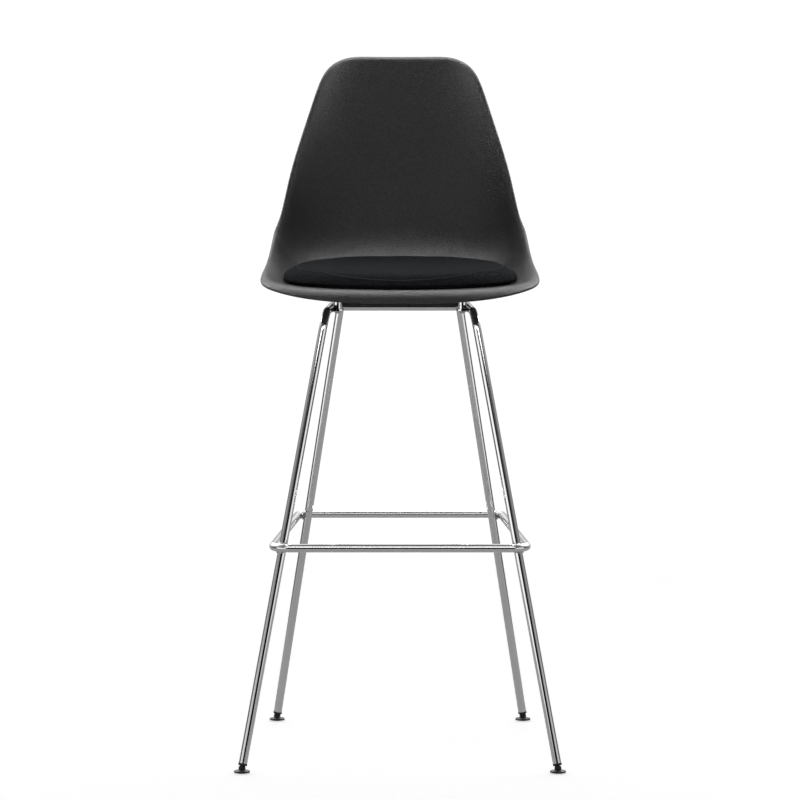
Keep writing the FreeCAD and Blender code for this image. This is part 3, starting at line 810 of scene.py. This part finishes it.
@dataclass
class SeatForm:
    """The seat face that the pad lies on: its centre line, and how it turns up at the sides.

    Away from the rolled edges this is the same face as the frame's shell.
    """

    line: Pairs = ((-236, 796.5), (-160, 797.5), (-60, 793.2), (30, 795), (90, 810), (135, 850),
                   (165, 930), (195, 1040), (235, 1166))
    half_width: Pairs = ((0.0, 186), (0.124, 232.2), (0.248, 224.4), (0.386, 212.5), (0.551, 203.6),
                         (0.689, 186.7), (0.854, 153.4), (1.0, 122.7))
    edge_rise: Pairs = ((0.0, 24.3), (0.124, 21.8), (0.275, 49.8), (0.413, 79.3), (0.523, 84.7),
                        (0.661, 76.5), (0.826, 50.4), (1.0, 30.8))
    rise_power: Pairs = ((0.0, 9.6), (0.25, 9.6), (0.38, 8), (0.52, 4.6), (0.68, 3.3), (0.84, 3.2),
                         (1.0, 3.6))

    def __post_init__(self) -> None:
        """Measure the centre line and fit the splines."""
        lengths = [0.0]
        for (y0, z0), (y1, z1) in zip(self.line, self.line[1:]):
            lengths.append(lengths[-1] + math.hypot(y1 - y0, z1 - z0))
        length = lengths[-1]
        self.y = Spline([(t, y) for t, (y, _) in zip(lengths, self.line)])
        self.z = Spline([(t, z) for t, (_, z) in zip(lengths, self.line)])
        self.width, self.rise, self.power = (Spline([(k * length, v) for k, v in table]) for table in
                                             (self.half_width, self.edge_rise, self.rise_power))

    def point(self, x: float, s: float, lift: float) -> Vector:
        """A point above the seat face.

        Args:
            x: Distance across, in millimetres.
            s: Distance along the centre line.
            lift: Distance above the face.

        Returns:
            The point in metres.
        """
        dy, dz = self.y.slope(s), self.z.slope(s)
        norm = math.hypot(dy, dz)
        height = self.rise.at(s) * min(1.0, abs(x) / self.width.at(s)) ** self.power.at(s) + lift
        return Vector((x, self.y.at(s) - height * dz / norm, self.z.at(s) + height * dy / norm)) * MM


@dataclass
class SeatPad:
    """The pad: woven top panel and side band, piped along their seam."""

    form: SeatForm
    half_width: float = 200.3
    middle: float = 169.5
    front: float = 145.0
    rear: float = 174.0
    front_power: float = 2.2
    rear_power: float = 2.1
    top: tuple[float, float] = (828.1, 0.04)        # height of its flat top at y = 0, and its slope
    panel: tuple[float, float] = (0.90, 0.80)       # share of the outline where the top is flat: front, sides
    edge: float = 1.6
    underside: float = 3.1          # above the seat face: the board and its two gaps
    shrink: float = 0.985           # it swells back in the simulation
    swell: float = 1.8              # and no point moves further than this
    voxel: float = 5.0
    pressure: float = 4.0
    frames: int = 20
    seam: tuple[float, float] = (0.95, 0.86)        # where the piping runs, as a share of the outline
    piping: float = 0.9

    def place(self, a: float, b: float, scale: float = 1.0) -> tuple[float, float]:
        """A point of the pad's outline, as x and distance along the centre line."""
        reach, power = (self.rear, self.rear_power) if b > 0 else (self.front, self.front_power)
        radius = max(abs(a), abs(b))
        if radius < 1e-9:
            return 0.0, self.middle
        fit = scale * radius / (abs(a) ** power + abs(b) ** power) ** (1 / power)
        return a * fit * self.half_width, self.middle + b * fit * reach

    def top_lift(self, a: float, b: float) -> float:
        """Height of the pad's top above the seat face."""
        face = self.form.point(*self.place(a, b), 0.0) / MM
        climb = self.form.point(*self.place(a, b), 1.0).z / MM - face.z
        height = (self.top[0] + self.top[1] * face.y - face.z) / climb - self.underside - self.edge
        panel = self.panel[0] - (self.panel[0] - self.panel[1]) * a * a
        past = max(0.0, (max(abs(a), abs(b)) - panel) / (1 - panel))
        return self.underside + self.edge + height * math.sqrt(max(0.0, 1 - past * past))

    def start_shape(self) -> bpy.types.Object:
        """The pad before it is stuffed: a cube cut fine, then shaped over the seat face.

        Returns:
            A closed, slightly small pad.
        """
        start_alone()
        bpy.ops.mesh.primitive_cube_add(size=2.0, location=(0, 0, 0))
        pad = bpy.context.object
        pad.name = pad.data.name = "pad_body"
        bpy.ops.object.mode_set(mode="EDIT")
        bpy.ops.mesh.select_all(action="SELECT")
        bpy.ops.mesh.subdivide(number_cuts=39)
        bpy.ops.object.mode_set(mode="OBJECT")
        for vertex in pad.data.vertices:
            a, b = (math.sin(math.pi / 2 * value) for value in vertex.co[:2])
            x, s = self.place(a, b, self.shrink)
            low, high = self.underside + 0.4, self.top_lift(a, b)
            vertex.co = self.form.point(x, s, low + (high - low) * (vertex.co.z + 1) / 2)
        return pad

    def stuff(self, start: bpy.types.Object) -> bpy.types.Object:
        """Fill the pad by cloth simulation.

        Args:
            start: The unstuffed pad.

        Returns:
            The stuffed pad, with no modifier left on it.
        """
        pad = bpy.data.objects.new("stuffed_pad", start.data.copy())
        bpy.context.scene.collection.objects.link(pad)
        bpy.data.objects.remove(start)
        apply_modifier(pad, "REMESH", mode="VOXEL", voxel_size=self.voxel * MM, use_smooth_shade=True)
        rest = [vertex.co.copy() for vertex in pad.data.vertices]
        facing = [vertex.normal.copy() for vertex in pad.data.vertices]
        cloth = pad.modifiers.new("cloth", "CLOTH")
        cloth.settings.use_pressure = True
        cloth.settings.uniform_pressure_force = self.pressure
        cloth.settings.effector_weights.gravity = 0.0
        cloth.settings.tension_stiffness = cloth.settings.compression_stiffness = 25.0
        cloth.settings.bending_stiffness = 1.5
        cloth.collision_settings.use_collision = False
        scene = bpy.context.scene
        for step in range(1, self.frames + 1):
            scene.frame_set(step)
        make_active(pad)
        bpy.ops.object.modifier_apply(modifier=cloth.name)
        for vertex, old, way in zip(pad.data.vertices, rest, facing):
            move = vertex.co - old
            most = self.swell * MM * max(0.0, min(1.0, way.z * 1.6 + 0.75))
            if move.length > most:
                vertex.co = old + move * (most / move.length)
        scene.frame_set(1)
        return pad

    def seam_line(self, count: int = 240) -> list[Vector]:
        """Points of the seam between top panel and side band."""
        line = []
        for k in range(count):
            turn = 2 * math.pi * k / count
            a, b = math.cos(turn), math.sin(turn)
            size = max(abs(a), abs(b))
            a, b = a / size, b / size
            share = self.seam[0] - (self.seam[0] - self.seam[1]) * a * a
            x, s = self.place(a, b, share)
            line.append(self.form.point(x, s, self.top_lift(a * share, b * share)))
        return line

    def pipe_seam(self, pad: bpy.types.Object) -> bpy.types.Object:
        """Model the piping as a thin cord that follows the stuffed pad's surface.

        Args:
            pad: The stuffed pad.

        Returns:
            The piping.
        """
        line = []
        for point in self.seam_line():
            found, spot, normal, _ = pad.ray_cast(point + Vector((0, 0, 0.03)), Vector((0, 0, -1)))
            line.append(spot + normal * self.piping * 0.25 * MM if found else point)
        count = len(line)
        for _ in range(3):
            line = [(line[k - 1] + line[k] * 2 + line[(k + 1) % count]) / 4 for k in range(count)]
        curve = bpy.data.curves.new("seam_piping", "CURVE")
        curve.dimensions, curve.bevel_depth, curve.bevel_resolution = "3D", self.piping * MM, 3
        run = curve.splines.new("POLY")
        run.points.add(count - 1)
        for spot, point in zip(run.points, line):
            spot.co = (*point, 1.0)
        run.use_cyclic_u = True
        cord = bpy.data.objects.new("seam_piping_curve", curve)
        bpy.context.scene.collection.objects.link(cord)
        mesh = bpy.data.meshes.new_from_object(cord)
        bpy.data.objects.remove(cord)
        piping = bpy.data.objects.new("pad_seam_piping", mesh)
        bpy.context.scene.collection.objects.link(piping)
        return settle(piping, 60.0)

    def build(self) -> None:
        """Model, stuff and pipe the pad, and dress it and its board."""
        pad = self.start_shape()
        pad = self.stuff(pad)
        apply_modifier(pad, "SUBSURF", levels=1, render_levels=1)
        pad.name = pad.data.name = "woven_seat_pad"
        stand_in(settle(pad, 60.0), STOOL, Slot.PAD, "pad_cushion")
        piping = self.pipe_seam(pad)
        # The piping wears the lighter cloth, which paints a highlight along the seam.
        stand_in(piping, STOOL, Slot.PAD, finish=SEAM_HIGHLIGHT_CLOTH)
        dress(frame["nodes"]["pad_board"], BOARD)


# ---- studio --------------------------------------------------------------------------------------
@dataclass(frozen=True)
class SoftBox:
    """One soft box: its place, what it points at, its width and height, and its power in watts."""

    name: str
    place: Place
    aim: Place
    size: tuple[float, float]
    power: float
    shine_only: bool = False        # True for a box that only makes highlights

    def hang(self) -> None:
        """Hang the box, unseen by the camera."""
        data = bpy.data.lights.new(self.name, "AREA")
        data.shape, (data.size, data.size_y), data.energy = "RECTANGLE", self.size, self.power
        box = bpy.data.objects.new(self.name, data)
        box.location = self.place
        box.rotation_euler = (Vector(self.aim) - Vector(self.place)).to_track_quat("-Z", "Y").to_euler()
        box.visible_camera = False
        box.visible_diffuse = not self.shine_only
        bpy.context.scene.collection.objects.link(box)


@dataclass
class Studio:
    """A plain white studio: pale floor, soft boxes, and a dark camera side that chrome needs."""

    distance: float = 8.067
    eye: float = 1.435
    tilt: float = 5.96
    lens: float = 215.64
    floor_radius: float = 2.2
    # Tones round the horizon, from behind the stool (0), left (0.25), the camera (0.5), right (0.75).
    low_tones: Pairs = ((0.00, 0.50), (0.12, 0.45), (0.17, 0.10), (0.27, 0.08), (0.295, 1.25),
                        (0.42, 1.20), (0.45, 0.002), (0.575, 0.002), (0.605, 0.90), (0.71, 1.05),
                        (0.74, 0.07), (0.83, 0.10), (0.88, 0.45), (1.00, 0.50))
    high_tones: Pairs = ((0.00, 1.4), (0.14, 1.4), (0.22, 0.5), (0.33, 0.25), (0.42, 0.05), (0.50, 0.03),
                         (0.58, 0.05), (0.68, 0.2), (0.78, 0.5), (0.86, 1.4), (1.00, 1.4))
    ceiling_tone: float = 0.3
    camera_tone: float = 1.05                       # what the camera itself sees behind the stool
    box_tops: tuple[float, float] = (0.10, 0.25)    # sine of the height where low tones give way to high
    ceiling: tuple[float, float] = (0.82, 0.93)     # and where those give way to the ceiling
    boxes: tuple[SoftBox, ...] = (
        SoftBox("front_box", (0.0, -2.6, 3.8), (0, 0, 0.9), (3.2, 0.9), 8.0),
        SoftBox("rim_box", (0.0, 0.35, 1.75), (0, 0.23, 1.16), (0.9, 0.25), 9.0, shine_only=True),
        SoftBox("lip_box", (0.0, -1.2, 1.1), (0, -0.2, 0.8), (1.6, 0.2), 4.0, shine_only=True),
        SoftBox("left_box", (-1.7, 0.9, 2.1), (-0.1, 0, 0.9), (0.9, 0.9), 30.0, shine_only=True),
        SoftBox("right_box", (1.7, 0.9, 2.1), (0.1, 0, 0.9), (0.9, 0.9), 38.0, shine_only=True))

    def camera(self) -> None:
        """Place the camera in front of the stool, a little above it."""
        data = bpy.data.cameras.new("camera")
        data.lens, data.sensor_width, data.clip_end = self.lens, 36.0, 100.0
        camera = bpy.data.objects.new("camera", data)
        camera.location = (0, -self.distance, self.eye)
        camera.rotation_euler = (math.radians(90 - self.tilt), 0, 0)
        bpy.context.scene.collection.objects.link(camera)
        bpy.context.scene.camera = camera

    def floor(self) -> None:
        """Lay a pale, slightly uneven floor."""
        start_alone()
        bpy.ops.mesh.primitive_circle_add(vertices=96, radius=self.floor_radius, fill_type="NGON",
                                          location=(0, 0, -0.0005))
        floor = bpy.context.object
        floor.name = floor.data.name = "studio_floor"
        bpy.ops.object.transform_apply(location=True)
        dress(floor, FLOOR)

    def surroundings(self) -> None:
        """Light from all round: bright panels left and right, dark where the camera stands."""
        world = bpy.data.worlds.new("studio")
        bpy.context.scene.world = world
        world.use_nodes = True
        tree = NodeTree(world.node_tree)
        x, y, z = tree.axes(tree.add("ShaderNodeTexCoord", {}, {}, "Generated"))
        turn = tree.add("ShaderNodeMath", {"operation": "ARCTAN2"}, {0: x, 1: -y})
        level = tree.add("ShaderNodeMapRange", {}, {0: turn, 1: -math.pi, 2: math.pi, 3: 0.0, 4: 1.0})
        low, high = (tree.add("ShaderNodeValToRGB", {"stops": [(at, (tone,) * 3) for at, tone in stops]},
                              {0: level}) for stops in (self.low_tones, self.high_tones))
        sides = tree.mix(z.between(*self.box_tops), low, high)
        colour = tree.mix(z.between(*self.ceiling), sides, (*(self.ceiling_tone,) * 3, 1.0))
        seen = tree.add("ShaderNodeLightPath", {}, {}, "Is Camera Ray")
        shown = tree.mix(seen, colour, (*(self.camera_tone,) * 3, 1.0))
        light = tree.add("ShaderNodeBackground", {}, {"Color": shown, "Strength": 1.0})
        tree.add("ShaderNodeOutputWorld", {}, {0: light})

    def build(self) -> None:
        """Set up the whole studio."""
        self.camera()
        self.floor()
        self.surroundings()
        for box in self.boxes:
            box.hang()
        view = bpy.context.scene.view_settings
        view.view_transform, view.look, view.exposure, view.gamma = "Standard", "None", 0.0, 1.0


def main() -> None:
    """Build the stool from the floor up, then the studio round it."""
    logging.basicConfig(level=logging.INFO, format="%(name)s: %(message)s")
    base = TubeBase()
    base.build()
    SeatFixings().build()
    Feet().build(base)
    dress(frame["nodes"]["seat_shell"], SHELL_PLASTIC)
    SeatPad(SeatForm()).build()
    Studio().build()


if __name__ == "__main__":
    main()
